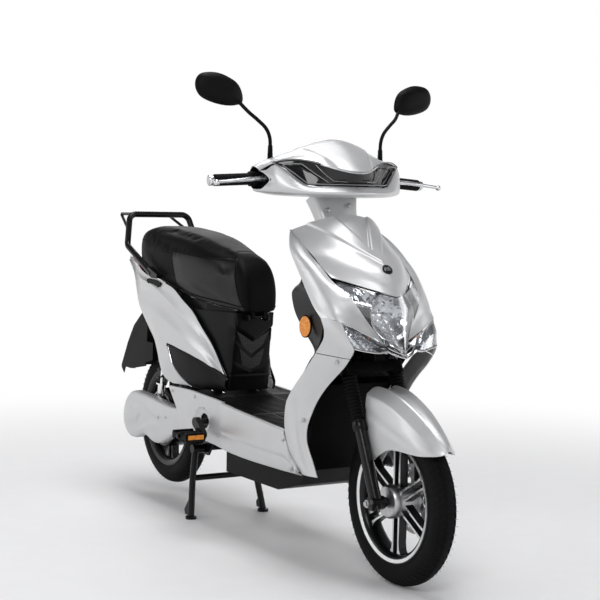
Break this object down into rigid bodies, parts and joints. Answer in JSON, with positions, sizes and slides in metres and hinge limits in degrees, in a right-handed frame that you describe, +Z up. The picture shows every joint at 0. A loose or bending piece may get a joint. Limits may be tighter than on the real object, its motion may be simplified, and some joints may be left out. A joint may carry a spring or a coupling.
{
  "type": "moped scooter",
  "caption": "Step-through electric moped scooter with pedals, telescopic fork, cast wheels, long black seat and rear rack, held upright on its centre stand.",
  "frame": {"origin": "under the middle of the bounding box, on the floor plane the centre stand and front tyre touch", "axes": "+Z up; the scooter faces -Y; +X towards the rider's left"},
  "size_m": [0.76, 1.8, 1.3081],
  "materials": {
    "body_paint": "gloss",
    "frame_paint": "satin",
    "black_plastic": "satin",
    "gloss_black": "gloss",
    "grey_plastic": "satin",
    "black_rubber": "matte",
    "tyre": "matte",
    "black_alloy": "satin",
    "bright_alloy": "satin",
    "steel": "satin",
    "chrome": "polished",
    "seat_vinyl": "satin",
    "clear_lens": "gloss",
    "reflector_chrome": "polished",
    "amber_lens": "gloss",
    "red_lens": "gloss"
  },
  "bodies": {
    "chassis": {"main_frame": "frame_paint", "bearings": "steel", "leg_shield": "body_paint", "front_cover": "body_paint", "headlight_lens": "clear_lens", "headlight_housing": "reflector_chrome", "inner_leg_shield": "black_plastic", "side_reflectors": "amber_lens", "floorboard": "black_rubber", "skirt_right": "body_paint", "skirt_left": "body_paint", "belly_pan": "black_plastic", "battery_pack": "black_plastic", "seat_pedestal": "black_plastic", "side_panel_right": "body_paint", "side_panel_left": "body_paint", "side_inserts": "gloss_black", "luggage_rack": "frame_paint", "tail_light": "red_lens", "rear_mudguard": "black_plastic"},
    "steering": {"steering_stem": "frame_paint", "handlebar": "steel", "left_grip": "black_rubber", "switch_housings": "black_plastic", "cowl_front": "body_paint", "cowl_window": "gloss_black", "cowl_rear": "black_plastic", "neck_cover": "body_paint", "fork_gaiters": "black_rubber"},
    "fork_lower": {"fork_legs": "black_alloy", "front_axle": "steel", "brake_caliper": "black_alloy", "front_fender": "body_paint"},
    "front_wheel": {"front_rim": "black_alloy", "front_tyre": "tyre", "brake_disc": "steel"},
    "throttle": {"throttle_grip": "black_rubber"},
    "right_lever": {"brake_lever_right": "bright_alloy"},
    "left_lever": {"brake_lever_left": "bright_alloy"},
    "horn": {"horn_button": "black_plastic"},
    "indicator": {"turn_switch": "black_plastic"},
    "right_mirror": {"mirror_right": "black_plastic"},
    "left_mirror": {"mirror_left": "black_plastic"},
    "key": {"ignition_switch": "steel"},
    "rear_arm": {"swingarm": "frame_paint", "rear_axle": "steel", "chain_cover": "grey_plastic", "drive_chain": "steel"},
    "back_wheel": {"rear_wheel": "black_alloy", "rear_tyre": "tyre"},
    "crank": {"crankset": "frame_paint"},
    "right_pedal": {"pedal_right": "black_plastic"},
    "left_pedal": {"pedal_left": "black_plastic"},
    "shock_upper": {"shock_bodies": "frame_paint", "shock_springs": "chrome"},
    "shock_lower": {"shock_rods": "chrome"},
    "main_stand": {"centre_stand": "frame_paint"},
    "kick_stand": {"side_stand": "frame_paint"},
    "seat": {"seat_base": "black_plastic", "seat_cushion": "seat_vinyl"}
  },
  "joints": [
    {"name": "steer", "type": "hinge", "parent": "chassis", "child": "steering", "pos_m": [0, -0.6835, 0.2165], "axis": [0, 0.4147, 0.91], "range_deg": [-30, 30]},
    {"name": "fork_travel", "type": "slide", "parent": "steering", "child": "fork_lower", "axis": [0, 0.4147, 0.91], "range_m": [0, 0.04], "stiffness_N_per_m": 8000, "springref_m": -0.03, "deforming": ["fork_gaiters"]},
    {"name": "front_wheel_spin", "type": "hinge", "parent": "fork_lower", "child": "front_wheel", "pos_m": [0, -0.6835, 0.2165], "axis": [1, 0, 0], "continuous": true},
    {"name": "throttle_turn", "type": "hinge", "parent": "steering", "child": "throttle", "pos_m": [-0.11, -0.3055, 1.035], "axis": [-0.9814, 0.1832, -0.0567], "range_deg": [0, 70], "stiffness_Nm_per_rad": 0.5, "springref_deg": -11.46},
    {"name": "right_lever_pull", "type": "hinge", "parent": "steering", "child": "right_lever", "pos_m": [-0.20494, -0.3244, 1.0299], "axis": [0.0557, -0.0104, -0.9984], "range_deg": [0, 14], "stiffness_Nm_per_rad": 4, "springref_deg": -8.59},
    {"name": "left_lever_pull", "type": "hinge", "parent": "steering", "child": "left_lever", "pos_m": [0.20494, -0.3244, 1.0299], "axis": [0.0557, 0.0104, 0.9984], "range_deg": [0, 14], "stiffness_Nm_per_rad": 4, "springref_deg": -8.59},
    {"name": "horn_press", "type": "slide", "parent": "steering", "child": "horn", "axis": [0.1835, -0.983, 0], "range_m": [0, 0.003], "stiffness_N_per_m": 300, "springref_m": -0.002},
    {"name": "indicator_slide", "type": "slide", "parent": "steering", "child": "indicator", "axis": [0.9814, 0.1832, -0.0567], "range_m": [-0.0045, 0.0045]},
    {"name": "right_mirror_swivel", "type": "hinge", "parent": "steering", "child": "right_mirror", "pos_m": [-0.177, -0.2975, 1.062], "axis": [0, 0, 1], "range_deg": [-30, 30]},
    {"name": "left_mirror_swivel", "type": "hinge", "parent": "steering", "child": "left_mirror", "pos_m": [0.177, -0.2975, 1.062], "axis": [0, 0, 1], "range_deg": [-30, 30]},
    {"name": "key_turn", "type": "hinge", "parent": "chassis", "child": "key", "pos_m": [-0.07, -0.3375, 0.79], "axis": [0, -1, 0], "range_deg": [0, 90]},
    {"name": "arm_swing", "type": "hinge", "parent": "chassis", "child": "rear_arm", "pos_m": [0, 0.1065, 0.318], "axis": [1, 0, 0], "range_deg": [0, 7], "stiffness_Nm_per_rad": 4000, "springref_deg": -2.29},
    {"name": "rear_wheel_spin", "type": "hinge", "parent": "rear_arm", "child": "back_wheel", "pos_m": [0, 0.6165, 0.2555], "axis": [1, 0, 0], "continuous": true},
    {"name": "crank_spin", "type": "hinge", "parent": "chassis", "child": "crank", "pos_m": [0, 0.1065, 0.318], "axis": [1, 0, 0], "continuous": true},
    {"name": "right_pedal_spin", "type": "hinge", "parent": "crank", "child": "right_pedal", "pos_m": [-0.223, 0.0665, 0.288], "axis": [1, 0, 0], "continuous": true},
    {"name": "left_pedal_spin", "type": "hinge", "parent": "crank", "child": "left_pedal", "pos_m": [0.223, 0.1465, 0.348], "axis": [1, 0, 0], "continuous": true},
    {"name": "shock_tilt", "type": "hinge", "parent": "chassis", "child": "shock_upper", "pos_m": [0, 0.5065, 0.64], "axis": [1, 0, 0], "range_deg": [-0.2, 1]},
    {"name": "shock_travel", "type": "slide", "parent": "shock_upper", "child": "shock_lower", "axis": [0, -0.1309, 0.9914], "range_m": [-0.001, 0.055], "deforming": ["shock_springs"]},
    {"name": "main_stand_fold", "type": "hinge", "parent": "chassis", "child": "main_stand", "pos_m": [0, 0.2715, 0.208], "axis": [1, 0, 0], "range_deg": [0, 76]},
    {"name": "kick_stand_fold", "type": "hinge", "parent": "chassis", "child": "kick_stand", "pos_m": [0.13, -0.0435, 0.196], "axis": [-1, 0, 0], "range_deg": [0, 76]},
    {"name": "seat_lift", "type": "hinge", "parent": "chassis", "child": "seat", "pos_m": [0, 0.0645, 0.628], "axis": [1, 0, 0], "range_deg": [0, 80]}
  ],
  "couplings": [
    {"joint": "shock_travel", "follows": "arm_swing", "m_per_rad": 0.4408},
    {"joint": "shock_tilt", "follows": "arm_swing", "ratio": 0.1006}
  ]
}
